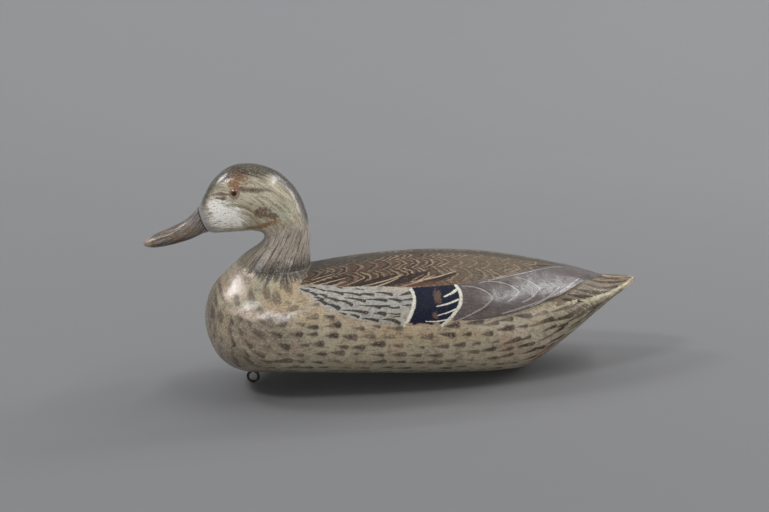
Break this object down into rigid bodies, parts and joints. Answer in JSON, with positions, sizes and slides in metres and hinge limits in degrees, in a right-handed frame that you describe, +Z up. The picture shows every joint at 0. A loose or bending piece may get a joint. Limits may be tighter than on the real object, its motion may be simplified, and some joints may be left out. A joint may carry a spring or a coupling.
{
  "type": "duck decoy",
  "caption": "Carved and painted wooden duck decoy, a mallard hen, with glass eyes and a screw eye below the breast for the anchor line.",
  "frame": {"origin": "on the flat strip of the underside, on the mid-plane, below the middle of the body", "axes": "+X towards the tail, the bill points along -X, +Y towards the bird's right side, +Z up"},
  "size_m": [0.4437, 0.1606, 0.2042],
  "materials": {
    "body_paint": "aged oil paint on carved wood, semi-gloss, feathers painted in browns, tan and grey",
    "head_paint": "aged oil paint on carved wood, semi-gloss, streaked cream and brown, with a grey-brown bill",
    "eye_glass": "polished glass eye, rust-brown iris and dark pupil",
    "tie_steel": "dark grey weathered steel wire"
  },
  "bodies": {
    "root": {"body": "body_paint", "head": "head_paint", "eye_left": "eye_glass", "eye_right": "eye_glass", "line_tie": "tie_steel"}
  },
  "joints": []
}
